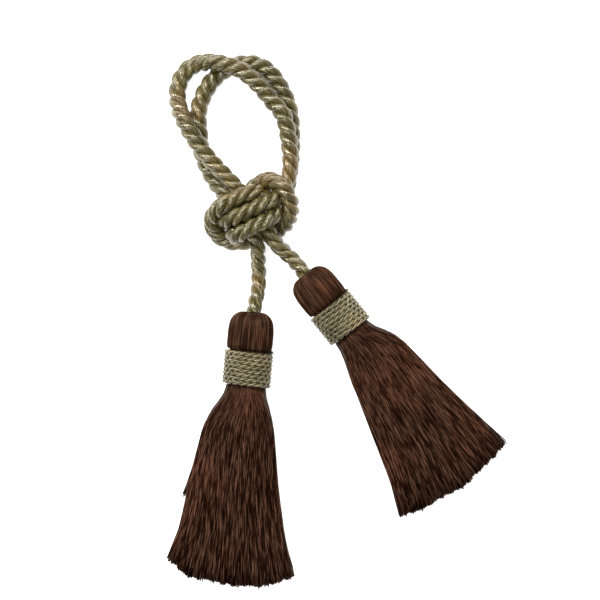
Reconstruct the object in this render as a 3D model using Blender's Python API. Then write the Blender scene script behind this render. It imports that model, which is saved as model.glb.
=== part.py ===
"""Double tassel curtain tieback, lying flat as laid out on a table.

One twisted cord makes two turns of an open loop, is tied in a bulky knot and ends in two tassels.
Each tassel is a thread-covered head with a skirt of locks, and a wound band round its neck.
Everything is in metres with +Z up, and the tieback rests on the plane z = 0.
"""

import math

import bmesh
import bpy
import numpy as np

# Cord
LOOP_CORD_RADIUS = 0.0038  # over the ridges of its strands, where it lies slack
KNOT_CORD_RADIUS = 0.0032  # where the knot presses it
TAIL_CORD_RADIUS = 0.0035  # below the knot
CORD_LAY = 0.017  # length of one full turn of its three strands
CORD_STEP = 0.0025
STRANDS = 3
VALLEY = 0.74  # depth of the groove between two strands, as a share of the radius
RIDGE_HALF_ANGLE = math.radians(24)
TAIL_TO_KNOT = (0.029, 0.035)  # the Y from which and up to which the thickness changes
KNOT_TO_LOOP = (0.066, 0.081)

# Tassel
NECK_RADIUS = 0.0090
HEAD_RADIUS = 0.0102
AXIS_HEIGHT = 0.0107  # of a tassel's head above the table
NECK_LENGTH = 0.0170
HEAD_LENGTH = 0.0340  # neck and head together
SEAT_RADIUS = 0.0041  # the hole in the head that the cord goes into
SEAT_DEPTH = 0.0036
COLUMNS = 15  # locks across a skirt
ROWS = 5  # layers of locks
LOCK_SHARE = 0.80  # of its cell that a lock fills
ROOT_SHARE = 0.993  # of the neck's disc in which the locks start
GRID_EDGE = 0.995  # half the width of the grid, less a little
TIP_SHARE = 0.72
LEVELS = (0.0, 0.10, 0.27, 0.60, 1.0)  # stations along a lock, as shares of its length
HEAP_HEIGHTS = (0.0196, 0.0182, 0.0160, 0.0132, 0.0105)  # of the skirt's crown at each of them
EDGE_DROOP = 0.55  # how much lower the skirt is at its two edges
STAGGER = 0.5  # sideways shift of each layer of locks, as a share of half a lock's width
SETTLED = 0.27  # share of the length by which the round neck has become the flat heap

# Band
BAND_BORE = 0.0094
BAND_RADIUS = 0.0113
BAND_GROOVE = 0.0105
BAND_TURNS = 8
BAND_START = 0.0005
BAND_PITCH = 0.0020
BAND_SEGMENTS = 28

# The cord's middle line from the left tassel to the right one.
ROUTE = [
    # up from the left head into the knot and out at its upper left
    (-0.0373, 0.0005, 0.0107), (-0.0367, 0.0063, 0.0098), (-0.0351, 0.0146, 0.0065),
    (-0.0349, 0.0228, 0.0060), (-0.0351, 0.0302, 0.0092), (-0.0363, 0.0369, 0.0112),
    (-0.0421, 0.0469, 0.0113), (-0.0490, 0.0556, 0.0100), (-0.0546, 0.0624, 0.0060),
    # lower turn of the loop, inside on the left and outside on the right
    (-0.0588, 0.0702, 0.0042), (-0.0615, 0.0785, 0.0039), (-0.0624, 0.0868, 0.0039),
    (-0.0629, 0.0946, 0.0039), (-0.0612, 0.1020, 0.0039), (-0.0583, 0.1077, 0.0039),
    (-0.0544, 0.1125, 0.0039), (-0.0493, 0.1160, 0.0039), (-0.0438, 0.1179, 0.0039),
    (-0.0385, 0.1183, 0.0039), (-0.0332, 0.1167, 0.0039), (-0.0287, 0.1130, 0.0039),
    (-0.0251, 0.1077, 0.0039), (-0.0222, 0.1017, 0.0039), (-0.0204, 0.0951, 0.0039),
    (-0.0197, 0.0863, 0.0039), (-0.0198, 0.0767, 0.0039), (-0.0206, 0.0665, 0.0039),
    # up into the knot, and the lower pass over its front
    (-0.0224, 0.0587, 0.0042), (-0.0250, 0.0530, 0.0082), (-0.0273, 0.0487, 0.0146),
    (-0.0316, 0.0453, 0.0185), (-0.0376, 0.0425, 0.0189), (-0.0427, 0.0395, 0.0184),
    # behind the knot to the right, and up
    (-0.0458, 0.0385, 0.0144), (-0.0452, 0.0406, 0.0086), (-0.0417, 0.0433, 0.0042),
    (-0.0376, 0.0476, 0.0037), (-0.0330, 0.0530, 0.0047), (-0.0326, 0.0574, 0.0113),
    # upper pass over the front, and down round the left side
    (-0.0390, 0.0580, 0.0184), (-0.0457, 0.0553, 0.0188), (-0.0523, 0.0517, 0.0181),
    (-0.0563, 0.0460, 0.0126), (-0.0542, 0.0401, 0.0070), (-0.0484, 0.0362, 0.0044),
    # along the bottom, and the turn round the right side
    (-0.0415, 0.0358, 0.0037), (-0.0333, 0.0388, 0.0036), (-0.0241, 0.0423, 0.0056),
    (-0.0198, 0.0498, 0.0148), (-0.0205, 0.0556, 0.0193), (-0.0233, 0.0601, 0.0208),
    (-0.0269, 0.0629, 0.0186), (-0.0307, 0.0639, 0.0120), (-0.0348, 0.0627, 0.0060),
    # behind the knot to the left
    (-0.0392, 0.0592, 0.0042), (-0.0438, 0.0539, 0.0037), (-0.0480, 0.0494, 0.0044),
    # middle pass over the front
    (-0.0497, 0.0454, 0.0122), (-0.0452, 0.0469, 0.0184), (-0.0385, 0.0502, 0.0190),
    (-0.0309, 0.0538, 0.0189), (-0.0256, 0.0573, 0.0148), (-0.0222, 0.0624, 0.0118),
    # upper turn of the loop, inside on the right and outside on the left
    (-0.0204, 0.0688, 0.0118), (-0.0204, 0.0771, 0.0119), (-0.0217, 0.0872, 0.0120),
    (-0.0240, 0.0946, 0.0118), (-0.0284, 0.1001, 0.0104), (-0.0335, 0.1066, 0.0098),
    (-0.0388, 0.1117, 0.0108), (-0.0440, 0.1152, 0.0118), (-0.0493, 0.1170, 0.0118),
    (-0.0546, 0.1181, 0.0108), (-0.0599, 0.1185, 0.0070), (-0.0650, 0.1174, 0.0044),
    (-0.0691, 0.1141, 0.0039), (-0.0718, 0.1093, 0.0039), (-0.0726, 0.1033, 0.0042),
    (-0.0712, 0.0960, 0.0072), (-0.0677, 0.0886, 0.0113), (-0.0627, 0.0808, 0.0118),
    (-0.0569, 0.0732, 0.0118), (-0.0507, 0.0668, 0.0115),
    # through the knot and down to the right head
    (-0.0445, 0.0602, 0.0113), (-0.0378, 0.0521, 0.0113), (-0.0319, 0.0439, 0.0112),
    (-0.0282, 0.0369, 0.0110), (-0.0236, 0.0318, 0.0080), (-0.0192, 0.0277, 0.0066),
    (-0.0153, 0.0231, 0.0094), (-0.0118, 0.0185, 0.0107),
]

# Each tassel: the place of its neck, its turn about Z, the outline of its skirt and its cut end.
TASSELS = {
    "left": {
        "neck": (-0.0406, -0.0305),
        "turn": math.radians(-5.0),
        # columns: distance from the neck, left edge, right edge
        "outline": [
            (0.000, -0.0090, 0.0090),
            (0.010, -0.0160, 0.0134),
            (0.023, -0.0187, 0.0150),
            (0.047, -0.0225, 0.0188),
            (0.068, -0.0252, 0.0234),
            (0.088, -0.0312, 0.0305),
        ],
        # columns: place across from -1 to 1, length of the locks there
        "cut": [
            (-1.00, 0.0820),
            (-0.60, 0.0895),
            (0.10, 0.0917),
            (0.45, 0.0912),
            (0.70, 0.0894),
            (1.00, 0.0850),
        ],
    },
    "right": {
        "neck": (0.0077, -0.0057),
        "turn": math.radians(38.9),
        "outline": [
            (0.000, -0.0090, 0.0090),
            (0.010, -0.0125, 0.0162),
            (0.024, -0.0160, 0.0167),
            (0.045, -0.0228, 0.0184),
            (0.066, -0.0295, 0.0209),
            (0.086, -0.0385, 0.0228),
        ],
        "cut": [
            (-1.00, 0.0800),
            (-0.60, 0.0838),
            (-0.20, 0.0852),
            (0.10, 0.0877),
            (0.45, 0.0864),
            (0.75, 0.0859),
            (1.00, 0.0845),
        ],
    },
}

# columns: distance from the neck's lower end towards the cord, radius
HEAD_PROFILE = [
    (NECK_LENGTH, NECK_RADIUS),
    (NECK_LENGTH + 0.0003, HEAD_RADIUS - 0.0003),
    (NECK_LENGTH + 0.0030, HEAD_RADIUS),
    (NECK_LENGTH + 0.0102, HEAD_RADIUS - 0.0001),
    (NECK_LENGTH + 0.0136, HEAD_RADIUS - 0.0010),
    (NECK_LENGTH + 0.0158, HEAD_RADIUS - 0.0028),
    (HEAD_LENGTH, SEAT_RADIUS + 0.0010),
    (HEAD_LENGTH - 0.0003, SEAT_RADIUS),
    (HEAD_LENGTH - SEAT_DEPTH, SEAT_RADIUS),
]

# columns: name, base colour, roughness
MATERIALS = {
    "cord": ((0.30, 0.25, 0.12, 1.0), 0.50),
    "tassel": ((0.050, 0.022, 0.014, 1.0), 0.55),
    "band": ((0.40, 0.34, 0.20, 1.0), 0.55),
}


def clear_scene():
    """Remove every object of the scene."""
    for obj in list(bpy.data.objects):
        bpy.data.objects.remove(obj, do_unlink=True)


def new_collection(name, shown):
    """Return a new collection of the scene."""
    collection = bpy.data.collections.new(name)
    collection.hide_render = not shown
    bpy.context.scene.collection.children.link(collection)
    return collection


def new_material(name):
    """Return a Principled material with the colour and roughness that MATERIALS gives."""
    colour, roughness = MATERIALS[name]
    material = bpy.data.materials.new(name)
    material.use_nodes = True
    shader = material.node_tree.nodes["Principled BSDF"]
    shader.inputs["Base Color"].default_value = colour
    shader.inputs["Roughness"].default_value = roughness
    shader.inputs["Metallic"].default_value = 0.0
    return material


def add_object(name, data, collection, material, parent=None):
    """Put an object with this mesh or curve in the collection."""
    obj = bpy.data.objects.new(name, data)
    data.materials.append(material)
    obj.parent = parent
    collection.objects.link(obj)
    return obj


def smooth_route(route, step):
    """Return points a step apart on the natural cubic spline through the route's points."""
    knots = np.array(route)
    chords = np.linalg.norm(np.diff(knots, axis=0), axis=1)
    at = np.concatenate([[0.0], np.cumsum(np.sqrt(chords))])
    gaps = np.diff(at)
    inner = np.arange(1, len(knots) - 1)
    matrix = np.eye(len(knots))
    matrix[inner, inner - 1] = gaps[:-1]
    matrix[inner, inner] = 2.0 * (gaps[:-1] + gaps[1:])
    matrix[inner, inner + 1] = gaps[1:]
    slopes = np.diff(knots, axis=0) / gaps[:, None]
    right_side = np.zeros_like(knots)
    right_side[inner] = 6.0 * np.diff(slopes, axis=0)
    bends = np.linalg.solve(matrix, right_side)
    fine = np.linspace(0.0, at[-1], 6000)
    span = np.clip(np.searchsorted(at, fine) - 1, 0, len(gaps) - 1)
    gap = gaps[span][:, None]
    before = (at[span + 1] - fine)[:, None] / gap
    after = 1.0 - before
    curve = before * knots[span] + after * knots[span + 1]
    curve += (before**3 - before) * bends[span] * gap**2 / 6.0
    curve += (after**3 - after) * bends[span + 1] * gap**2 / 6.0
    walked = np.concatenate([[0.0], np.cumsum(np.linalg.norm(np.diff(curve, axis=0), axis=1))])
    stops = np.linspace(0.0, walked[-1], round(walked[-1] / step) + 1)
    points = [np.interp(stops, walked, curve[:, axis]) for axis in range(3)]
    return np.stack(points, axis=1), stops


def strand_profile(collection):
    """Return a closed flat curve, the cord's three-ridged section with radius 1."""
    curve = bpy.data.curves.new("strand_section", "CURVE")
    curve.dimensions = "2D"
    section = curve.splines.new("POLY")
    section.points.add(3 * STRANDS - 1)
    for strand in range(STRANDS):
        ridge = math.tau * strand / STRANDS
        corners = (
            (ridge - math.pi / STRANDS, VALLEY),
            (ridge - RIDGE_HALF_ANGLE, 1.0),
            (ridge + RIDGE_HALF_ANGLE, 1.0),
        )
        for i, (angle, radius) in enumerate(corners):
            place = (radius * math.cos(angle), radius * math.sin(angle), 0.0, 1.0)
            section.points[3 * strand + i].co = place
    section.use_cyclic_u = True
    obj = bpy.data.objects.new("strand_section", curve)
    collection.objects.link(obj)
    return obj


def closed_mesh(name, obj):
    """Return a curve object's surface as a mesh, its end caps joined to its sides."""
    bpy.context.view_layer.update()
    evaluated = obj.evaluated_get(bpy.context.evaluated_depsgraph_get())
    mesh = bpy.data.meshes.new_from_object(evaluated)
    mesh.name = name
    mesh.materials.clear()
    bm = bmesh.new()
    bm.from_mesh(mesh)
    bmesh.ops.remove_doubles(bm, verts=bm.verts, dist=0.00001)
    bmesh.ops.recalc_face_normals(bm, faces=bm.faces)
    bm.to_mesh(mesh)
    bm.free()
    return mesh


def cord(collection, helpers, material):
    """Add the cord: the section swept along the route, turning once in each lay."""
    points, stops = smooth_route(ROUTE, CORD_STEP)
    sizes = (TAIL_CORD_RADIUS, KNOT_CORD_RADIUS, KNOT_CORD_RADIUS, LOOP_CORD_RADIUS)
    radii = np.interp(points[:, 1], TAIL_TO_KNOT + KNOT_TO_LOOP, sizes)
    curve = bpy.data.curves.new("cord", "CURVE")
    curve.dimensions = "3D"
    curve.twist_mode = "MINIMUM"
    curve.bevel_mode = "OBJECT"
    curve.bevel_object = strand_profile(helpers)
    curve.use_fill_caps = True
    spline = curve.splines.new("POLY")
    spline.points.add(len(points) - 1)
    for place, co, radius, stop in zip(spline.points, points, radii, stops):
        place.co = (*co, 1.0)
        place.radius = radius
        place.tilt = -math.tau * stop / CORD_LAY
    swept = add_object("cord_sweep", curve, collection, material)
    mesh = closed_mesh("cord", swept)
    bpy.data.objects.remove(swept)
    return add_object("cord", mesh, collection, material)


def disc_place(across, up):
    """Map the square of a grid to the round section of the neck."""
    x = across * math.sqrt(1.0 - up * up / 2.0)
    z = up * math.sqrt(1.0 - across * across / 2.0)
    return NECK_RADIUS * x, NECK_RADIUS * z


def skirt_place(across, up, level, spec):
    """Return where a lock's point lies, in the tassel's frame.

    across and up run from -1 to 1 over the skirt's section, and level counts its stations.
    """
    share = np.interp(level, range(len(LEVELS)), LEVELS)
    cut_at, cut_length = zip(*spec["cut"])
    length = share * np.interp(across, cut_at, cut_length)
    along, left, right = zip(*spec["outline"])
    low_edge = np.interp(length, along, left)
    high_edge = np.interp(length, along, right)
    crown = np.interp(level, range(len(LEVELS)), HEAP_HEIGHTS)
    edge_lock = 1.0 - (1.0 - LOCK_SHARE) / ROWS
    layer = min(max((up + edge_lock) / (2.0 * edge_lock), 0.0), 1.0)
    row = min(int((up + 1.0) / 2.0 * ROWS), ROWS - 1)
    shifted = across + (-1) ** row * STAGGER / COLUMNS
    heap_x = low_edge + (high_edge - low_edge) * (shifted + 1.0) / 2.0
    heap_z = layer * crown * (1.0 - EDGE_DROOP * shifted * shifted)
    inset = ROOT_SHARE if max(abs(across), abs(up)) < GRID_EDGE else 1.0
    round_x, round_z = (inset * place for place in disc_place(across, up))
    settled = min(share / SETTLED, 1.0)
    settled = settled * settled * (3.0 - 2.0 * settled)
    x = round_x + (heap_x - round_x) * math.sqrt(settled)
    z = round_z + (heap_z - AXIS_HEIGHT - round_z) * settled
    return x, -length, max(z, -AXIS_HEIGHT)


def head_place(across, up, ring):
    """Return where a point of the grid's rim goes on one ring of the head."""
    along, radius = HEAD_PROFILE[ring]
    x, z = disc_place(across, up)
    return x * radius / NECK_RADIUS, along, z * radius / NECK_RADIUS


def add_head(bm):
    """Pull the grid's rim up ring by ring, one step down in Z for each, and close the last."""
    rim = [edge for edge in bm.edges if edge.is_boundary]
    for _ in HEAD_PROFILE:
        pulled = bmesh.ops.extrude_edge_only(bm, edges=rim)["geom"]
        rim = [item for item in pulled if isinstance(item, bmesh.types.BMEdge)]
        verts = [item for item in pulled if isinstance(item, bmesh.types.BMVert)]
        bmesh.ops.translate(bm, verts=verts, vec=(0.0, 0.0, -1.0))
    bmesh.ops.contextual_create(bm, geom=rim)


def shrink(face, share):
    """Draw a face in towards its middle."""
    middle = face.calc_center_median()
    for vert in face.verts:
        vert.co.xy = middle.xy + (vert.co.xy - middle.xy) * share


def add_locks(bm, cells):
    """Draw each cell of the grid in and out into a lock, one step up in Z for each station."""
    for number, cell in enumerate(cells):
        face = bmesh.ops.extrude_discrete_faces(bm, faces=[cell])["faces"][0]
        shrink(face, LOCK_SHARE)
        for level in range(1, len(LEVELS)):
            face = bmesh.ops.extrude_discrete_faces(bm, faces=[face])["faces"][0]
            bmesh.ops.translate(bm, verts=face.verts, vec=(0.0, 0.0, 1.0))
            if level == len(LEVELS) - 1:
                shrink(face, TIP_SHARE / LOCK_SHARE)
                uneven = 0.5 * math.sin(2.4 * number) + 0.5 * math.sin(5.1 * number)
                bmesh.ops.translate(bm, verts=face.verts, vec=(0.0, 0.0, 0.08 * (uneven - 1.0)))


def tassel(side, spec, collection, material, parent):
    """Add a tassel's head, neck and skirt as one solid.

    It is modelled as a square grid with the head below it and the locks above, and each point
    then goes to its place on the round head or in the skirt.
    """
    bm = bmesh.new()
    bmesh.ops.create_grid(bm, x_segments=COLUMNS, y_segments=ROWS, size=1.0)
    cells = list(bm.faces)
    add_head(bm)
    add_locks(bm, cells)
    for vert in bm.verts:
        across, up, level = vert.co
        if level < -0.5:
            vert.co = head_place(across, up, round(-level) - 1)
        else:
            vert.co = skirt_place(across, up, level, spec)
    bmesh.ops.recalc_face_normals(bm, faces=bm.faces)
    mesh = bpy.data.meshes.new(f"tassel_{side}")
    bm.to_mesh(mesh)
    bm.free()
    return add_object(f"tassel_{side}", mesh, collection, material, parent)


def band(side, collection, material, parent):
    """Add the ribbed band round the neck: a profile of ridges spun about the tassel's axis."""
    profile = [(BAND_BORE, BAND_START)]
    for turn in range(BAND_TURNS):
        start = BAND_START + turn * BAND_PITCH
        profile.append((BAND_GROOVE, start))
        profile.append((BAND_RADIUS, start + BAND_PITCH / 2.0))
    end = BAND_START + BAND_TURNS * BAND_PITCH
    profile.append((BAND_GROOVE, end))
    profile.append((BAND_BORE, end))
    bm = bmesh.new()
    verts = [bm.verts.new((radius, along, 0.0)) for radius, along in profile]
    edges = [bm.edges.new(pair) for pair in zip(verts, verts[1:] + verts[:1])]
    bmesh.ops.spin(
        bm,
        geom=verts + edges,
        axis=(0.0, 1.0, 0.0),
        angle=math.tau,
        steps=BAND_SEGMENTS,
        use_merge=True,
    )
    for vert in bm.verts:
        vert.co.z = max(vert.co.z, -AXIS_HEIGHT)
    bmesh.ops.recalc_face_normals(bm, faces=bm.faces)
    mesh = bpy.data.meshes.new(f"band_{side}")
    bm.to_mesh(mesh)
    bm.free()
    return add_object(f"band_{side}", mesh, collection, material, parent)


def build():
    """Model the whole tieback."""
    clear_scene()
    shown = new_collection("double_tassel_tieback", True)
    helpers = new_collection("sections", False)
    materials = {name: new_material(name) for name in MATERIALS}
    cord(shown, helpers, materials["cord"])
    for side, spec in TASSELS.items():
        place = bpy.data.objects.new(f"{side}_tassel_place", None)
        place.location = (*spec["neck"], AXIS_HEIGHT)
        place.rotation_euler.z = spec["turn"]
        shown.objects.link(place)
        tassel(side, spec, shown, materials["tassel"], place)
        band(side, shown, materials["band"], place)


build()
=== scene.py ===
"""Looks of the double tassel curtain tieback: twisted satin cord, wound bands and thread skirts."""

import math

import bpy
import numpy as np
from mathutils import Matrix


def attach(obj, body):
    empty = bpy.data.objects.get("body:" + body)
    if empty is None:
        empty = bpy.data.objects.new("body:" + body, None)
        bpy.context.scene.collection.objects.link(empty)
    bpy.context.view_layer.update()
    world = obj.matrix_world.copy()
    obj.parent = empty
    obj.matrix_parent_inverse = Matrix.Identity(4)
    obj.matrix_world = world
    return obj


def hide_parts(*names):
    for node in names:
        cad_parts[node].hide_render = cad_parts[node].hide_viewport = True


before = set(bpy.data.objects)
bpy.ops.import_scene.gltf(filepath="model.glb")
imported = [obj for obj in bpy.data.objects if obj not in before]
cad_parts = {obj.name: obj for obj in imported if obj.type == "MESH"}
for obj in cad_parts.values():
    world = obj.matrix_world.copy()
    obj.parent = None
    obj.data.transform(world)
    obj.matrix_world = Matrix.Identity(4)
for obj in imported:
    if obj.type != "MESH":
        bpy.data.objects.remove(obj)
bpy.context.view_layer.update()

# Camera, table and light.
# The tieback lies flat on a pale table top and is seen from straight above, with soft daylight
# that comes from beyond its top edge and a little from the left.
VIEW_CENTRE = (-0.0158, 0.0090)
VIEW_WIDTH = 0.276
CAMERA_HEIGHT = 1.3
SUBJECT_HEIGHT = 0.010
SENSOR = 36.0
TABLE_HALF_WIDTH = 3.0
TABLE_HEIGHT = -0.0001
TABLE_WHITE = (0.93, 0.93, 0.93)
TABLE_ROUGHNESS = 0.9
TABLE_GLOW = 0.70
DAYLIGHT = 0.46

camera = bpy.data.objects.new("camera", bpy.data.cameras.new("camera"))
camera.data.sensor_width = SENSOR
camera.data.lens = SENSOR * (CAMERA_HEIGHT - SUBJECT_HEIGHT) / VIEW_WIDTH
camera.location = (*VIEW_CENTRE, CAMERA_HEIGHT)
bpy.context.scene.collection.objects.link(camera)
bpy.context.scene.camera = camera
bpy.context.scene.view_settings.view_transform = "Standard"


def plain_material(name, colour, roughness):
    """Return a new Principled material with this colour and roughness."""
    material = bpy.data.materials.new(name)
    material.use_nodes = True
    shader = material.node_tree.nodes["Principled BSDF"]
    shader.inputs["Base Color"].default_value = (*colour, 1.0)
    shader.inputs["Roughness"].default_value = roughness
    return material


def level_square(name, half, height):
    """Add a level square of this half width at this height, and return it."""
    corners = [(-half, -half, height), (half, -half, height), (half, half, height), (-half, half, height)]
    mesh = bpy.data.meshes.new(name)
    mesh.from_pydata(corners, [], [(0, 1, 2, 3)])
    square = bpy.data.objects.new(name, mesh)
    bpy.context.scene.collection.objects.link(square)
    return square


table_top = plain_material("pale_table", TABLE_WHITE, TABLE_ROUGHNESS)
table_shader = table_top.node_tree.nodes["Principled BSDF"]
table_shader.inputs["Emission Color"].default_value = (1.0, 1.0, 1.0, 1.0)
table_shader.inputs["Emission Strength"].default_value = TABLE_GLOW
floor = level_square("floor", TABLE_HALF_WIDTH, TABLE_HEIGHT)
floor.data.materials.append(table_top)


def area_light(name, place, width, height, watts, colour):
    """Add a rectangular lamp at this place that faces the tieback, its width level."""
    lamp = bpy.data.objects.new(name, bpy.data.lights.new(name, "AREA"))
    lamp.data.shape = "RECTANGLE"
    lamp.data.size = width
    lamp.data.size_y = height
    lamp.data.energy = watts
    lamp.data.color = colour
    lamp.location = place
    towards = np.array([VIEW_CENTRE[0], VIEW_CENTRE[1], 0.0]) - np.array(place)
    flat = math.hypot(towards[0], towards[1])
    lamp.rotation_euler = (math.atan2(flat, -towards[2]), 0.0, math.atan2(-towards[0], towards[1]))
    bpy.context.scene.collection.objects.link(lamp)


# The key is a long low strip, which draws a thin bright line along each strand of the cord.
area_light(
    "key", place=(-0.45, 1.05, 1.20), width=3.2, height=0.16, watts=56.0, colour=(1.0, 0.98, 0.95)
)
area_light(
    "fill", place=(-0.40, -0.15, 1.30), width=0.5, height=0.5, watts=7.0, colour=(1.0, 0.99, 0.97)
)

world = bpy.data.worlds.new("daylight")
world.use_nodes = True
sky = world.node_tree.nodes["Background"]
sky.inputs["Color"].default_value = (1.0, 0.98, 0.94, 1.0)
sky.inputs["Strength"].default_value = DAYLIGHT
bpy.context.scene.world = world

# Cord.
# One piece of upholstery cord, three fat strands of satin rayon yarn laid up left-handed. It makes
# the two turns of the loop, wraps itself in the knot, and ends in the heads of the two tassels.
LOOP_CORD_RADIUS = 0.0042
KNOT_CORD_RADIUS = 0.0038
TAIL_CORD_RADIUS = 0.0036
TAIL_TO_KNOT = (0.029, 0.035)  # the Y from which and up to which the thickness changes
KNOT_TO_LOOP = (0.066, 0.081)
# places in the knot where the strands spread and fill the space between its passes
HOLLOWS = [
    (-0.0498, 0.0412, 0.0070),
    (-0.0294, 0.0597, 0.0120),
    (-0.0248, 0.0520, 0.0100),
    (-0.0498, 0.0412, 0.0120),
]
HOLLOW_SIZE = 0.0055
SPREAD = 0.0009  # by which the cord's radius grows there
CORD_LAY = 0.017
CORD_STEP = 0.0010
ROUTE_SAMPLES = 6000
STRANDS = 3
STRAND_PLACE = 0.535  # distance of a strand's middle from the cord's, as a share of the radius
STRAND_HALF_WIDTH = 0.480
STRAND_HALF_HEIGHT = 0.470
STRAND_SIDES = 40
YARNS = 10  # yarns round a strand
YARN_RELIEF = 0.035
YARN_LAY = 0.0083  # of the yarns round their strand, against the cord's lay, so they lie along the cord
CENTIMETRES = 100.0  # in a metre; the UV maps count the length of yarn in them
UP = (0.0, 0.0, 1.0)

# The same points as in the source of the solids, from the left tassel to the right one.
ROUTE = [
    # up from the left head into the knot and out at its upper left
    (-0.0373, 0.0005, 0.0107), (-0.0367, 0.0063, 0.0098), (-0.0351, 0.0146, 0.0065),
    (-0.0349, 0.0228, 0.0060), (-0.0351, 0.0302, 0.0092), (-0.0363, 0.0369, 0.0112),
    (-0.0421, 0.0469, 0.0113), (-0.0490, 0.0556, 0.0100), (-0.0546, 0.0624, 0.0060),
    # lower turn of the loop, inside on the left and outside on the right
    (-0.0588, 0.0702, 0.0042), (-0.0615, 0.0785, 0.0039), (-0.0624, 0.0868, 0.0039),
    (-0.0629, 0.0946, 0.0039), (-0.0612, 0.1020, 0.0039), (-0.0583, 0.1077, 0.0039),
    (-0.0544, 0.1125, 0.0039), (-0.0493, 0.1160, 0.0039), (-0.0438, 0.1179, 0.0039),
    (-0.0385, 0.1183, 0.0039), (-0.0332, 0.1167, 0.0039), (-0.0287, 0.1130, 0.0039),
    (-0.0251, 0.1077, 0.0039), (-0.0222, 0.1017, 0.0039), (-0.0204, 0.0951, 0.0039),
    (-0.0197, 0.0863, 0.0039), (-0.0198, 0.0767, 0.0039), (-0.0206, 0.0665, 0.0039),
    # up into the knot, and the lower pass over its front
    (-0.0224, 0.0587, 0.0042), (-0.0250, 0.0530, 0.0082), (-0.0273, 0.0487, 0.0146),
    (-0.0316, 0.0453, 0.0185), (-0.0376, 0.0425, 0.0189), (-0.0427, 0.0395, 0.0184),
    # behind the knot to the right, and up
    (-0.0458, 0.0385, 0.0144), (-0.0452, 0.0406, 0.0086), (-0.0417, 0.0433, 0.0042),
    (-0.0376, 0.0476, 0.0037), (-0.0330, 0.0530, 0.0047), (-0.0326, 0.0574, 0.0113),
    # upper pass over the front, and down round the left side
    (-0.0390, 0.0580, 0.0184), (-0.0457, 0.0553, 0.0188), (-0.0523, 0.0517, 0.0181),
    (-0.0563, 0.0460, 0.0126), (-0.0542, 0.0401, 0.0070), (-0.0484, 0.0362, 0.0044),
    # along the bottom, and the turn round the right side
    (-0.0415, 0.0358, 0.0037), (-0.0333, 0.0388, 0.0036), (-0.0241, 0.0423, 0.0056),
    (-0.0198, 0.0498, 0.0148), (-0.0205, 0.0556, 0.0193), (-0.0233, 0.0601, 0.0208),
    (-0.0269, 0.0629, 0.0186), (-0.0307, 0.0639, 0.0120), (-0.0348, 0.0627, 0.0060),
    # behind the knot to the left
    (-0.0392, 0.0592, 0.0042), (-0.0438, 0.0539, 0.0037), (-0.0480, 0.0494, 0.0044),
    # middle pass over the front
    (-0.0497, 0.0454, 0.0122), (-0.0452, 0.0469, 0.0184), (-0.0385, 0.0502, 0.0190),
    (-0.0309, 0.0538, 0.0189), (-0.0256, 0.0573, 0.0148), (-0.0222, 0.0624, 0.0118),
    # upper turn of the loop, inside on the right and outside on the left
    (-0.0204, 0.0688, 0.0118), (-0.0204, 0.0771, 0.0119), (-0.0217, 0.0872, 0.0120),
    (-0.0240, 0.0946, 0.0118), (-0.0284, 0.1001, 0.0104), (-0.0335, 0.1066, 0.0098),
    (-0.0388, 0.1117, 0.0108), (-0.0440, 0.1152, 0.0118), (-0.0493, 0.1170, 0.0118),
    (-0.0546, 0.1181, 0.0108), (-0.0599, 0.1185, 0.0070), (-0.0650, 0.1174, 0.0044),
    (-0.0691, 0.1141, 0.0039), (-0.0718, 0.1093, 0.0039), (-0.0726, 0.1033, 0.0042),
    (-0.0712, 0.0960, 0.0072), (-0.0677, 0.0886, 0.0113), (-0.0627, 0.0808, 0.0118),
    (-0.0569, 0.0732, 0.0118), (-0.0507, 0.0668, 0.0115),
    # through the knot and down to the right head
    (-0.0445, 0.0602, 0.0113), (-0.0378, 0.0521, 0.0113), (-0.0319, 0.0439, 0.0112),
    (-0.0282, 0.0369, 0.0110), (-0.0236, 0.0318, 0.0080), (-0.0192, 0.0277, 0.0066),
    (-0.0153, 0.0231, 0.0094), (-0.0118, 0.0185, 0.0107),
]


def smooth_route(route, step):
    """Return points a step apart on the natural cubic spline through the route, and their distances.

    The spline's second derivatives at the points solve one linear system, the parameter grows by
    the square root of each chord, and the curve is then resampled by its length.
    """
    knots = np.array(route)
    chords = np.linalg.norm(np.diff(knots, axis=0), axis=1)
    at = np.concatenate([[0.0], np.cumsum(np.sqrt(chords))])
    gaps = np.diff(at)
    inner = np.arange(1, len(knots) - 1)
    matrix = np.eye(len(knots))
    matrix[inner, inner - 1] = gaps[:-1]
    matrix[inner, inner] = 2.0 * (gaps[:-1] + gaps[1:])
    matrix[inner, inner + 1] = gaps[1:]
    slopes = np.diff(knots, axis=0) / gaps[:, None]
    right_side = np.zeros_like(knots)
    right_side[inner] = 6.0 * np.diff(slopes, axis=0)
    bends = np.linalg.solve(matrix, right_side)
    fine = np.linspace(0.0, at[-1], ROUTE_SAMPLES)
    span = np.clip(np.searchsorted(at, fine) - 1, 0, len(gaps) - 1)
    gap = gaps[span][:, None]
    before = (at[span + 1] - fine)[:, None] / gap
    after = 1.0 - before
    curve = before * knots[span] + after * knots[span + 1]
    curve += (before**3 - before) * bends[span] * gap**2 / 6.0
    curve += (after**3 - after) * bends[span + 1] * gap**2 / 6.0
    walked = np.concatenate([[0.0], np.cumsum(np.linalg.norm(np.diff(curve, axis=0), axis=1))])
    stops = np.linspace(0.0, walked[-1], round(walked[-1] / step) + 1)
    points = [np.interp(stops, walked, curve[:, axis]) for axis in range(3)]
    return np.stack(points, axis=1), stops


def unit(vectors):
    """Return the vectors at length 1."""
    return vectors / np.linalg.norm(vectors, axis=-1, keepdims=True)


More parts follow.
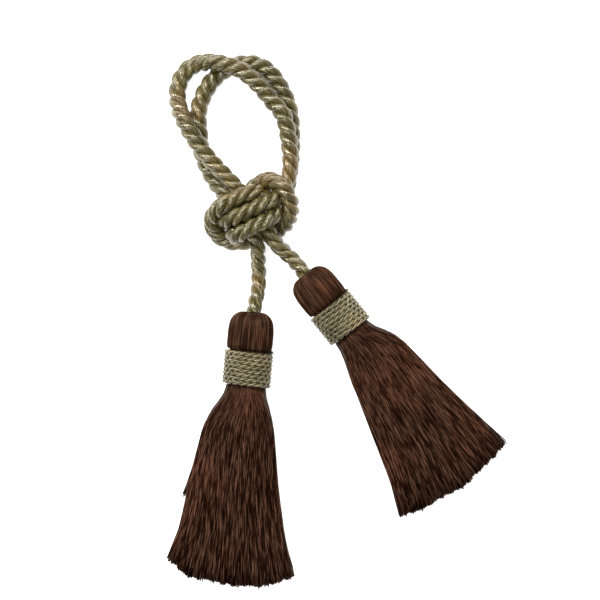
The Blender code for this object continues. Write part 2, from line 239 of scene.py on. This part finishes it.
def carried_frame(points):
    """Return two unit vectors across the path at each point, carried along it without twist.

    Each one is the one before it less its part along the new direction, at length 1 again.
    """
    along = unit(np.gradient(points, axis=0))
    side = np.empty_like(along)
    side[0] = unit(np.cross(along[0], UP))
    for i in range(1, len(along)):
        side[i] = unit(side[i - 1] - along[i] * np.dot(side[i - 1], along[i]))
    return side, np.cross(along, side)


def strand_surface(points, stops, side, up, radius, turn):
    """Return one strand's points by ring and side, and their UV values.

    Its middle circles the cord's middle line once in each lay. Round that middle the strand is an
    ellipse, wider round the cord than outwards, with one low ripple for each yarn. The yarns turn
    round the strand against its own turn, and the UV's second axis counts their turns.
    """
    angle = turn - math.tau * stops / CORD_LAY
    outward = np.cos(angle)[:, None] * side + np.sin(angle)[:, None] * up
    middle = points + STRAND_PLACE * radius[:, None] * outward
    along = unit(np.gradient(middle, axis=0))
    around = unit(np.cross(along, outward))
    outward = np.cross(around, along)
    phase = np.linspace(-math.pi, math.pi, STRAND_SIDES, endpoint=False)
    slanted = phase - math.tau * stops[:, None] / YARN_LAY
    ripple = 1.0 - YARN_RELIEF * (1.0 - np.abs(np.cos(YARNS * slanted / 2.0)))
    wide = STRAND_HALF_WIDTH * radius[:, None] * ripple * np.sin(phase)
    high = STRAND_HALF_HEIGHT * radius[:, None] * ripple * np.cos(phase)
    ellipse = high[..., None] * outward[:, None, :] + wide[..., None] * around[:, None, :]
    lengthwise = np.broadcast_to(stops[:, None] * CENTIMETRES, slanted.shape)
    return middle[:, None, :] + ellipse, np.stack([lengthwise, slanted / math.tau], axis=-1)


def above_table(points):
    """Return the points, with any that are below the table top raised to it."""
    return np.maximum(points, (-math.inf, -math.inf, 0.0))


def tube_faces(tubes, rings, sides):
    """Return the quads of tubes of this many rings and sides, with both ends closed.

    The points count round each ring, ring after ring and tube after tube.
    """
    tube, ring, side = np.meshgrid(
        np.arange(tubes), np.arange(rings - 1), np.arange(sides), indexing="ij"
    )
    start = tube * rings * sides + ring * sides
    end = start + sides
    beyond = (side + 1) % sides
    quads = np.stack([start + side, start + beyond, end + beyond, end + side], axis=-1)
    first = np.arange(tubes)[:, None] * rings * sides + np.arange(sides)
    last = first + (rings - 1) * sides
    return quads.reshape(-1, 4).tolist() + first[:, ::-1].tolist() + last.tolist()


def add_tubes(name, tubes, material, nodes, uv=None):
    """Add tubes as one smooth mesh that rides on the tieback.

    tubes holds points by tube, ring and side, and uv their two UV values. A piece that lies under
    others is plain and needs no UV values.
    """
    if uv is None:
        uv = np.zeros((*tubes.shape[:3], 2))
    mesh = bpy.data.meshes.new(name)
    mesh.from_pydata(tubes.reshape(-1, 3), [], tube_faces(*tubes.shape[:3]))
    corners = np.empty(len(mesh.loops), dtype=np.int32)
    mesh.loops.foreach_get("vertex_index", corners)
    layer = mesh.uv_layers.new(name="UVMap")
    layer.data.foreach_set("uv", uv.reshape(-1, 2)[corners].ravel().astype(np.float32))
    mesh.polygons.foreach_set("use_smooth", np.ones(len(mesh.polygons), dtype=bool))
    mesh.materials.append(material)
    piece = bpy.data.objects.new(name, mesh)
    bpy.context.scene.collection.objects.link(piece)
    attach(piece, "root")
    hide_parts(*nodes)
    return piece


def node(tree, kind, **settings):
    """Add a shader node with these settings."""
    made = tree.nodes.new(kind)
    for name, value in settings.items():
        setattr(made, name, value)
    return made


def yarn_group():
    """Return the shader group that the cord, bands and threads share.

    It puts out a mask of fine filaments, long along the UV's first axis, and a slow mask of tone.
    """
    group = bpy.data.node_groups.new("satin_yarn", "ShaderNodeTree")
    for name, value in (("Along", 1.0), ("Across", 1.0), ("Patches", 60.0)):
        socket = group.interface.new_socket(name, in_out="INPUT", socket_type="NodeSocketFloat")
        socket.default_value = value
    for name in ("Filaments", "Tone"):
        group.interface.new_socket(name, in_out="OUTPUT", socket_type="NodeSocketFloat")
    inputs = node(group, "NodeGroupInput")
    outputs = node(group, "NodeGroupOutput")
    coordinates = node(group, "ShaderNodeTexCoord")
    scale = node(group, "ShaderNodeCombineXYZ")
    stretched = node(group, "ShaderNodeVectorMath", operation="MULTIPLY")
    filaments = node(group, "ShaderNodeTexNoise")
    filaments.inputs["Scale"].default_value = 1.0
    filaments.inputs["Detail"].default_value = 2.0
    tone = node(group, "ShaderNodeTexNoise")
    tone.inputs["Detail"].default_value = 1.0
    link = group.links.new
    link(inputs.outputs["Along"], scale.inputs["X"])
    link(inputs.outputs["Across"], scale.inputs["Y"])
    link(coordinates.outputs["UV"], stretched.inputs[0])
    link(scale.outputs["Vector"], stretched.inputs[1])
    link(stretched.outputs["Vector"], filaments.inputs["Vector"])
    link(coordinates.outputs["Object"], tone.inputs["Vector"])
    link(inputs.outputs["Patches"], tone.inputs["Scale"])
    link(filaments.outputs["Fac"], outputs.inputs["Filaments"])
    link(tone.outputs["Fac"], outputs.inputs["Tone"])
    return group


SATIN_YARN = yarn_group()
DARK_AT, MIDDLE_AT, LIGHT_AT = 0.38, 0.50, 0.63  # mask values that take the three tones
PATCH_EDGES = (0.52, 0.66)  # values of the tone mask between which the patch tint comes in


def yarn_material(name, tones, patch_tint, scales, patch_share, shine, relief):
    """Return a satin yarn material.

    tones holds the dark, the middle and the light colour. The filament mask, mixed with a share of
    the slow tone mask, picks between them and raises a fine bump, and the tone mask alone brings in
    the patch tint. scales holds the masks' scales along, across and over the patches, and shine
    the roughness, the level of the gloss and its tint.
    """
    dark, middle, light = tones
    roughness, gloss, gloss_tint = shine
    material = plain_material(name, middle, roughness)
    tree = material.node_tree
    shader = tree.nodes["Principled BSDF"]
    shader.inputs["Specular IOR Level"].default_value = gloss
    shader.inputs["Specular Tint"].default_value = (*gloss_tint, 1.0)
    yarn = node(tree, "ShaderNodeGroup", node_tree=SATIN_YARN)
    for socket, value in zip(("Along", "Across", "Patches"), scales):
        yarn.inputs[socket].default_value = value
    blend = node(tree, "ShaderNodeMix")
    blend.inputs["Factor"].default_value = patch_share
    ramp = node(tree, "ShaderNodeValToRGB")
    low, high = ramp.color_ramp.elements
    low.position = DARK_AT
    low.color = (*dark, 1.0)
    high.position = LIGHT_AT
    high.color = (*light, 1.0)
    ramp.color_ramp.elements.new(MIDDLE_AT).color = (*middle, 1.0)
    where = node(tree, "ShaderNodeMapRange")
    where.inputs["From Min"].default_value = PATCH_EDGES[0]
    where.inputs["From Max"].default_value = PATCH_EDGES[1]
    tinted = node(tree, "ShaderNodeMix", data_type="RGBA", blend_type="MULTIPLY")
    tinted.inputs["B"].default_value = (*patch_tint, 1.0)
    bump = node(tree, "ShaderNodeBump")
    bump.inputs["Distance"].default_value = relief
    link = tree.links.new
    link(yarn.outputs["Filaments"], blend.inputs["A"])
    link(yarn.outputs["Tone"], blend.inputs["B"])
    link(blend.outputs["Result"], ramp.inputs["Fac"])
    link(yarn.outputs["Tone"], where.inputs["Value"])
    link(where.outputs["Result"], tinted.inputs["Factor"])
    link(ramp.outputs["Color"], tinted.inputs["A"])
    link(tinted.outputs["Result"], shader.inputs["Base Color"])
    link(yarn.outputs["Filaments"], bump.inputs["Height"])
    link(bump.outputs["Normal"], shader.inputs["Normal"])
    return material


KHAKI_SATIN = yarn_material(
    "khaki_satin",
    tones=((0.022, 0.017, 0.002), (0.062, 0.050, 0.012), (0.172, 0.144, 0.054)),
    patch_tint=(1.18, 0.93, 0.92),
    scales=(0.9, 24.0, 41.0),
    patch_share=0.20,
    shine=(0.20, 1.0, (1.0, 0.95, 0.82)),
    relief=0.00024,
)
cord_path, cord_stops = smooth_route(ROUTE, CORD_STEP)
cord_side, cord_up = carried_frame(cord_path)
cord_radius = np.interp(
    cord_path[:, 1],
    TAIL_TO_KNOT + KNOT_TO_LOOP,
    (TAIL_CORD_RADIUS, KNOT_CORD_RADIUS, KNOT_CORD_RADIUS, LOOP_CORD_RADIUS),
)
for hollow in HOLLOWS:
    away = np.linalg.norm(cord_path - hollow, axis=1)
    cord_radius = cord_radius + SPREAD * np.exp(-((away / HOLLOW_SIZE) ** 2))
strands = [
    strand_surface(cord_path, cord_stops, cord_side, cord_up, cord_radius, math.tau * strand / STRANDS)
    for strand in range(STRANDS)
]
cord = add_tubes(
    "cord_strands",
    above_table(np.stack([surface for surface, _ in strands])),
    KHAKI_SATIN,
    ["cord"],
    uv=np.stack([uv for _, uv in strands]),
)

# Tassels.
# Each head is a turned wooden mould covered with chocolate brown rayon threads, which run down
# over it from the cord's hole, are bound round the neck, and hang on from there as the skirt.
NECK_RADIUS = 0.0090
HEAD_RADIUS = 0.0102
AXIS_HEIGHT = 0.0107
NECK_LENGTH = 0.0170
HEAD_LENGTH = 0.0340
SEAT_RADIUS = 0.0039
HEAD_THREADS = 150
HEAD_THREAD_RADIUS = 0.00026
HEAD_THREAD_CM = 3.5  # length that the UV map gives a thread, in centimetres
HEAD_STATIONS = 26
MOULD_SHARE = 0.985  # of the radius at which the threads' middles lie
MOULD_STATIONS = 60
MOULD_SIDES = 64
SKIRT_THREAD_RADIUS = 0.00027
SKIRT_THREAD_CM = 9.0
SKIRT_STATIONS = 15
STATION_BIAS = 1.15  # sets the stations closer together near the neck
THREAD_SIDES = 3
SKIRT_LAYERS = ((0.99, 560), (0.94, 500), (0.88, 440), (0.80, 360))  # share of the section, threads
UNEVEN_SPACING = 0.35  # of the gap between two threads
LEVEL_SHARES = (0.0, 0.10, 0.27, 0.60, 1.0)  # of the length, for the heights below
HEAP_HEIGHTS = (0.0196, 0.0182, 0.0160, 0.0132, 0.0105)
EDGE_DROOP = 0.55  # how much of that height is gone at the edges
SETTLED = 0.27  # share of the length at which the round neck has become the flat heap
LOCK_SWAY = 0.013  # how far neighbours wander together, as a share of the half width
FINE_LOCK_SWAY = 0.012
OWN_SWAY = 0.010
OWN_WAVES = (2.0, 8.0)  # radians that a thread's own wave turns through, at least and at most
UNEVEN_CUT = 0.005  # as a share of the length
LIFT = 0.05
MOST = 1.02  # as far as a thread may leave the outline or pass its length
STRAY_START = (0.96, 1.0)  # place across at which a stray thread lies before it leaves the side
STRAY_HEIGHT = (-1.0, 0.3)
STRAY_REACH = (0.2, 1.0)
STRAY_LENGTH = (0.96, 1.02)
INNER_TIPS = 1700  # threads inside the outer layers, of which only the ends are made
INNER_TIP_START = 0.90
INNER_TIP_STATIONS = 4
INNER_TIP_CM = 0.9
INNER_ACROSS = (-0.79, 0.79)
INNER_HEIGHT = (-0.90, 0.78)
INNER_LENGTH = (0.985, 1.005)
CORE_SHARES = (0.74, 0.70)  # of the section, across and up
CORE_END = 0.97  # as a share of the threads' length
CORE_STATIONS = 14
CORE_SIDES = 64
FIRST_SEED = 40
# The UV's second axis gives each thread a number and grows a little round it.
THREAD_NUMBERS = 40.0
NUMBER_GROWS = 0.02
PLACE_FOR_NUMBER = 5.3  # centimetres by which the first axis moves on from one number to the next

# The same outlines as in the source of the solids.
TASSELS = {
    "left": {
        "neck": (-0.0406, -0.0305),
        "turn": math.radians(-5.0),
        # columns: distance from the neck, left edge, right edge
        "outline": [
            (0.000, -0.0090, 0.0090),
            (0.010, -0.0160, 0.0134),
            (0.023, -0.0187, 0.0150),
            (0.047, -0.0225, 0.0188),
            (0.068, -0.0252, 0.0234),
            (0.088, -0.0312, 0.0305),
        ],
        # columns: place across from -1 to 1, length of the threads there
        "cut": [
            (-1.00, 0.0820),
            (-0.60, 0.0895),
            (0.10, 0.0917),
            (0.45, 0.0912),
            (0.70, 0.0894),
            (1.00, 0.0850),
        ],
        # columns: side, number of stray threads, share of the full length, how far they leave it
        "strays": [(-1.0, 8, 0.66, 0.10), (-1.0, 4, 1.0, 0.03), (1.0, 6, 1.0, 0.04)],
    },
    "right": {
        "neck": (0.0077, -0.0057),
        "turn": math.radians(38.9),
        "outline": [
            (0.000, -0.0090, 0.0090),
            (0.010, -0.0125, 0.0162),
            (0.024, -0.0160, 0.0167),
            (0.045, -0.0228, 0.0184),
            (0.066, -0.0295, 0.0209),
            (0.086, -0.0385, 0.0228),
        ],
        "cut": [
            (-1.00, 0.0800),
            (-0.60, 0.0838),
            (-0.20, 0.0852),
            (0.10, 0.0877),
            (0.45, 0.0864),
            (0.75, 0.0859),
            (1.00, 0.0845),
        ],
        "strays": [(1.0, 14, 1.0, 0.06), (-1.0, 4, 1.0, 0.02)],
    },
}

# columns: distance from the neck's lower end towards the cord, radius
HEAD_PROFILE = np.array([
    (0.0, NECK_RADIUS - 0.0004),
    (NECK_LENGTH - 0.0004, NECK_RADIUS - 0.0004),
    (NECK_LENGTH - 0.0002, HEAD_RADIUS - 0.0003),
    (NECK_LENGTH + 0.0004, HEAD_RADIUS),
    (NECK_LENGTH + 0.0030, HEAD_RADIUS + 0.0001),
    (NECK_LENGTH + 0.0080, HEAD_RADIUS + 0.0001),
    (NECK_LENGTH + 0.0112, HEAD_RADIUS - 0.0002),
    (NECK_LENGTH + 0.0136, HEAD_RADIUS - 0.0009),
    (NECK_LENGTH + 0.0151, HEAD_RADIUS - 0.0020),
    (NECK_LENGTH + 0.0162, HEAD_RADIUS - 0.0034),
    (HEAD_LENGTH - 0.0001, SEAT_RADIUS + 0.0014),
    (HEAD_LENGTH, SEAT_RADIUS + 0.0004),
    (HEAD_LENGTH - 0.0006, SEAT_RADIUS - 0.0002),
    (HEAD_LENGTH - 0.0030, SEAT_RADIUS - 0.0003),
])

# columns: share of a walk round the edge of the skirt's section, place across, place up
SECTION_WALK = np.array([
    (0.00, -1.0, -1.0),
    (0.36, 1.0, -1.0),
    (0.50, 1.0, 1.0),
    (0.86, -1.0, 1.0),
    (1.00, -1.0, -1.0),
])


def placed(local, spec):
    """Turn points of a tassel's frame about Z, and move them to its neck and up to its axis."""
    turn = spec["turn"]
    x = local[..., 0] * math.cos(turn) - local[..., 1] * math.sin(turn) + spec["neck"][0]
    y = local[..., 0] * math.sin(turn) + local[..., 1] * math.cos(turn) + spec["neck"][1]
    return above_table(np.stack([x, y, local[..., 2] + AXIS_HEIGHT], axis=-1))


def skirt_points(across, up, share, length, spec):
    """Return where points of the skirt lie, in the tassel's frame.

    across and up run from -1 to 1 over the section. At the neck that square is mapped to a disc,
    and further down to the flat heap between the outline's two edges; a smooth step blends them.
    """
    distance = share * length
    along, left, right = np.array(spec["outline"]).T
    low_edge = np.interp(distance, along, left)
    high_edge = np.interp(distance, along, right)
    crown = np.interp(share, LEVEL_SHARES, HEAP_HEIGHTS)
    heap_x = low_edge + (high_edge - low_edge) * (across + 1.0) / 2.0
    heap_z = (up + 1.0) / 2.0 * crown * (1.0 - EDGE_DROOP * across**2) - AXIS_HEIGHT
    round_x = NECK_RADIUS * across * np.sqrt(1.0 - up**2 / 2.0)
    round_z = NECK_RADIUS * up * np.sqrt(1.0 - across**2 / 2.0)
    settled = np.clip(share / SETTLED, 0.0, 1.0)
    settled = settled**2 * (3.0 - 2.0 * settled)
    x = round_x + (heap_x - round_x) * np.sqrt(settled)
    z = round_z + (heap_z - round_z) * settled
    return np.stack([x, -distance, z], axis=-1)


def cut_length(across, spec):
    """Return how long a skirt's threads are at these places across it."""
    places, lengths = np.array(spec["cut"]).T
    return np.interp(across, places, lengths)


def section_edge(walk):
    """Return across and up at these shares of a walk round the edge of the skirt's section.

    The walk goes along the bottom, up the right side, back along the top and down the left side,
    with most of its length on the long bottom and top.
    """
    shares, across, up = SECTION_WALK.T
    return np.interp(walk, shares, across), np.interp(walk, shares, up)


def skirt_threads(spec, rng):
    """Return the middle lines of a skirt's threads, in nested layers.

    Each thread keeps its place in the section, and wanders sideways by a slow wave that grows
    towards its tip: one part of the wave is shared by neighbours, so they gather into locks.
    """
    share = np.linspace(0.0, 1.0, SKIRT_STATIONS)[None, :] ** STATION_BIAS
    layers = []
    for scale, count in SKIRT_LAYERS:
        spacing = rng.uniform(-UNEVEN_SPACING, UNEVEN_SPACING, count)
        across, up = section_edge((np.arange(count) + spacing) / count % 1.0)
        across = (across * scale)[:, None]
        up = (up * scale)[:, None]
        lock = 2.1 * np.sin(9.0 * across + 4.0 * up)
        shared = LOCK_SWAY * np.sin(lock + 5.0 * share)
        shared = shared + FINE_LOCK_SWAY * np.sin(26.0 * across + 3.0 * share)
        start = rng.uniform(0.0, math.tau, (count, 1))
        own = OWN_SWAY * np.sin(start + rng.uniform(*OWN_WAVES, (count, 1)) * share)
        wander = (shared + own) * share
        rough = rng.normal(0.0, UNEVEN_CUT, (count, 1))
        uneven = 1.0 + UNEVEN_CUT * np.sin(37.0 * across + 5.0 * up) + rough
        length = cut_length(across, spec) * np.minimum(uneven, MOST)
        lift = rng.uniform(-LIFT, LIFT, (count, 1)) * share
        bent_across = np.clip(across + wander, -MOST, MOST)
        bent_up = np.clip(up + lift, -1.0, 1.0)
        layers.append(skirt_points(bent_across, bent_up, share, length, spec))
    return np.concatenate(layers + [stray_threads(side, spec, rng) for side in spec["strays"]])


def stray_threads(stray, spec, rng):
    """Return the middle lines of a few threads that have come away from one side of a skirt.

    Each follows the side down, and leaves it by the fourth power of the share of its own length.
    """
    side, count, part, spread = stray
    share = np.linspace(0.0, 1.0, SKIRT_STATIONS)[None, :]
    away = spread * rng.uniform(*STRAY_REACH, (count, 1))
    across = side * (rng.uniform(*STRAY_START, (count, 1)) + away * share**4)
    up = rng.uniform(*STRAY_HEIGHT, (count, 1)) + 0.0 * share
    length = cut_length(side, spec) * rng.uniform(*STRAY_LENGTH, (count, 1))
    return skirt_points(across, up, part * share, length, spec)


def inner_tips(spec, rng):
    """Return the middle lines of the last part of a skirt's inner threads, which shows at the cut.

    Their places are spread evenly over the section inside the outer layers, and each runs straight.
    """
    share = np.linspace(INNER_TIP_START, 1.0, INNER_TIP_STATIONS)[None, :]
    across = rng.uniform(*INNER_ACROSS, (INNER_TIPS, 1)) + 0.0 * share
    up = rng.uniform(*INNER_HEIGHT, (INNER_TIPS, 1)) + 0.0 * share
    length = cut_length(across, spec) * rng.uniform(*INNER_LENGTH, (INNER_TIPS, 1))
    return skirt_points(across, up, share, length, spec)


def core_surface(spec):
    """Return the dark body inside a skirt as one tube: a smaller copy of its section, run along it."""
    across, up = section_edge(np.linspace(0.0, 1.0, CORE_SIDES, endpoint=False))
    across = CORE_SHARES[0] * across
    up = CORE_SHARES[1] * up
    share = np.linspace(0.0, CORE_END, CORE_STATIONS)[:, None]
    return skirt_points(across, up, share, cut_length(across, spec), spec)[None]


def head_points(walk, angle):
    """Return points on the head at these shares of its profile's length and angles round its axis."""
    steps = np.linalg.norm(np.diff(HEAD_PROFILE, axis=0), axis=1)
    walked = np.concatenate([[0.0], np.cumsum(steps)])
    stop, angle = np.broadcast_arrays(walk * walked[-1], angle)
    along = np.interp(stop, walked, HEAD_PROFILE[:, 0])
    radius = np.interp(stop, walked, HEAD_PROFILE[:, 1])
    return np.stack([radius * np.cos(angle), along, radius * np.sin(angle)], axis=-1)


def head_threads():
    """Return the middle lines of the threads that cover a head, one at each angle round it."""
    angle = np.linspace(0.0, math.tau, HEAD_THREADS, endpoint=False)[:, None]
    return head_points(np.linspace(0.0, 1.0, HEAD_STATIONS)[None, :], angle)


def mould_surface():
    """Return the mould as one tube: the head's profile, a little thinner, turned round its axis."""
    walk = np.linspace(0.0, 1.0, MOULD_STATIONS)[:, None]
    angle = np.linspace(0.0, -math.tau, MOULD_SIDES, endpoint=False)
    return (head_points(walk, angle) * np.array([MOULD_SHARE, 1.0, MOULD_SHARE]))[None]


def rings_round(middles, first, second, radius, sides):
    """Return the points of round tubes along these middle lines.

    At each station they lie on a circle, which starts at the first vector and turns towards the
    second. Both vectors are square to the line.
    """
    phase = np.linspace(0.0, math.tau, sides, endpoint=False)
    circle = np.cos(phase)[:, None] * first[..., None, :] + np.sin(phase)[:, None] * second[..., None, :]
    return middles[..., None, :] + radius * circle


def thread_tubes(middles, outward, radius):
    """Return thin tubes round many threads, with one edge of each turned outwards."""
    along = unit(np.gradient(middles, axis=1))
    level = unit(np.cross(along, outward))
    return rings_round(middles, np.cross(level, along), level, radius, THREAD_SIDES)


def thread_uv(shape, rng, length):
    """Return UV values for thread tubes: the place along the thread, and a number for each thread.

    The place is in centimetres and starts anew for each thread, so that the streaks of neighbours
    don't line up.
    """
    threads, stations, sides = shape
    number = rng.random(threads)[:, None, None] * THREAD_NUMBERS
    place = np.linspace(0.0, length, stations)[None, :, None] + PLACE_FOR_NUMBER * number
    around = np.linspace(0.0, NUMBER_GROWS, sides)[None, None, :]
    return np.stack(np.broadcast_arrays(place, number + around), axis=-1)


# The light tone, which the filament mask brings up in short streaks along the threads, is partly the
# threads' own uneven tone and partly painted glints of their sheen.
BROWN_SATIN = yarn_material(
    "chocolate_satin",
    tones=((0.0035, 0.0009, 0.0004), (0.0155, 0.0053, 0.0027), (0.124, 0.063, 0.040)),
    patch_tint=(1.1, 1.0, 0.95),
    scales=(1.2, 3.4, 40.0),
    patch_share=0.08,
    shine=(0.48, 0.03, (1.0, 0.60, 0.42)),
    relief=0.00003,
)
# The heads' copy of the skirt threads' chocolate. It is lighter throughout, which is painted sheen of the
# tight threads over the mould, not a lighter dye. Its light streaks are partly the threads' own uneven
# tone and partly painted glints.
SHEEN_PAINTED_BROWN_SATIN = yarn_material(
    "stretched_chocolate_satin_painted_sheen",
    tones=((0.0060, 0.0016, 0.0007), (0.026, 0.0102, 0.0049), (0.130, 0.068, 0.041)),
    patch_tint=(1.15, 0.95, 0.8),
    scales=(0.7, 3.0, 90.0),
    patch_share=0.25,
    shine=(0.36, 0.15, (1.0, 0.62, 0.44)),
    relief=0.00003,
)
head_lines = head_threads()
head_tubes = thread_tubes(head_lines, head_lines * np.array([1.0, 0.0, 1.0]), HEAD_THREAD_RADIUS)
for number, (side_name, spec) in enumerate(TASSELS.items()):
    rng = np.random.default_rng(FIRST_SEED + number)
    nodes = [f"tassel_{side_name}"]
    skirt = above_table(thread_tubes(placed(skirt_threads(spec, rng), spec), UP, SKIRT_THREAD_RADIUS))
    skirt_uv = thread_uv(skirt.shape[:3], rng, SKIRT_THREAD_CM)
    add_tubes(f"skirt_{side_name}", skirt, BROWN_SATIN, nodes, uv=skirt_uv)
    core = placed(core_surface(spec), spec)
    add_tubes(f"skirt_core_{side_name}", core, BROWN_SATIN, nodes)
    head = placed(head_tubes, spec)
    head_uv = thread_uv(head.shape[:3], rng, HEAD_THREAD_CM)
    add_tubes(f"head_{side_name}", head, SHEEN_PAINTED_BROWN_SATIN, nodes, uv=head_uv)
    tips = above_table(thread_tubes(placed(inner_tips(spec, rng), spec), UP, SKIRT_THREAD_RADIUS))
    tips_uv = thread_uv(tips.shape[:3], rng, INNER_TIP_CM)
    add_tubes(f"skirt_tips_{side_name}", tips, BROWN_SATIN, nodes, uv=tips_uv)
    mould = placed(mould_surface(), spec)
    add_tubes(f"mould_{side_name}", mould, BROWN_SATIN, nodes)

# Neck bands.
# Thin two-ply cord of the pale khaki yarn, wound eight times round each neck to bind the skirt
# threads to the mould. Its ends are tucked in under the turns.
BAND_TURNS = 8
BAND_LOW = 0.0008  # where the middle of the wound cord starts along the neck
BAND_HIGH = 0.0160  # and where it ends
BAND_WINDING_RADIUS = 0.0103
BAND_STEP = 0.00055
PLIES = 2
PLY_RADIUS = 0.00056
PLY_PLACE = 0.00052
PLY_LAY = 0.0066
PLY_SIDES = 9
SLEEVE_RADIUS = 0.0097
SLEEVE_INNER_RADIUS = NECK_RADIUS - 0.0006
SLEEVE_SIDES = 64
TASSEL_AXIS = np.array([0.0, 1.0, 0.0])


def wound_plies():
    """Return the plies of the wound cord as tubes, and their UV values, in the tassel's frame.

    The cord's middle line is a helix round the tassel's axis, and each ply circles that line once
    in each lay of its own.
    """
    length = math.tau * BAND_WINDING_RADIUS * BAND_TURNS
    stops = np.linspace(0.0, length, round(length / BAND_STEP))
    angle = stops / BAND_WINDING_RADIUS
    outward = np.stack([np.cos(angle), np.zeros_like(angle), np.sin(angle)], axis=-1)
    along = BAND_LOW + (BAND_HIGH - BAND_LOW) * stops / length
    middle = BAND_WINDING_RADIUS * outward + along[:, None] * TASSEL_AXIS
    turn = math.tau * (np.arange(PLIES)[:, None] / PLIES - stops / PLY_LAY)
    away = np.cos(turn)[..., None] * outward + np.sin(turn)[..., None] * TASSEL_AXIS
    centre = middle + PLY_PLACE * away
    forward = unit(np.gradient(centre, axis=1))
    other = unit(np.cross(forward, away))
    tubes = rings_round(centre, np.cross(other, forward), other, PLY_RADIUS, PLY_SIDES)
    place = np.broadcast_to((stops * CENTIMETRES)[None, :, None], tubes.shape[:3])
    around = np.broadcast_to(np.linspace(0.0, 1.0, PLY_SIDES), tubes.shape[:3])
    return tubes, np.stack([place, around], axis=-1)


def sleeve_surface():
    """Return the plain sleeve of thread under the band's turns: a closed tube of four rings, dark with
    painted shade in the grooves between the turns.
    """
    angle = np.linspace(0.0, -math.tau, SLEEVE_SIDES, endpoint=False)
    radius = np.array([SLEEVE_INNER_RADIUS, SLEEVE_RADIUS, SLEEVE_RADIUS, SLEEVE_INNER_RADIUS])[:, None]
    along = np.array([BAND_LOW, BAND_LOW, BAND_HIGH, BAND_HIGH])[:, None] + 0.0 * angle
    return np.stack([radius * np.cos(angle), along, radius * np.sin(angle)], axis=-1)[None]


BAND_SATIN = yarn_material(
    "pale_khaki_satin",
    tones=((0.026, 0.020, 0.006), (0.090, 0.073, 0.029), (0.27, 0.232, 0.13)),
    patch_tint=(1.1, 0.97, 0.9),
    scales=(1.2, 9.0, 60.0),
    patch_share=0.20,
    shine=(0.28, 0.9, (1.0, 0.94, 0.80)),
    relief=0.00006,
)
# Painted shade: a darkened copy of the band's khaki for the sleeve, so the grooves between the wound
# turns read dark. It is not the yarn's own colour.
PAINTED_SHADE_SATIN = yarn_material(
    "khaki_satin_painted_shade",
    tones=((0.006, 0.004, 0.001), (0.016, 0.012, 0.005), (0.040, 0.032, 0.015)),
    patch_tint=(1.1, 0.97, 0.9),
    scales=(1.2, 9.0, 60.0),
    patch_share=0.20,
    shine=(0.60, 0.2, (1.0, 0.94, 0.80)),
    relief=0.00003,
)
plies, plies_uv = wound_plies()
for side_name, spec in TASSELS.items():
    nodes = [f"band_{side_name}"]
    add_tubes(f"band_{side_name}_turns", placed(plies, spec), BAND_SATIN, nodes, uv=plies_uv)
    add_tubes(f"band_{side_name}_sleeve", placed(sleeve_surface(), spec), PAINTED_SHADE_SATIN, nodes)
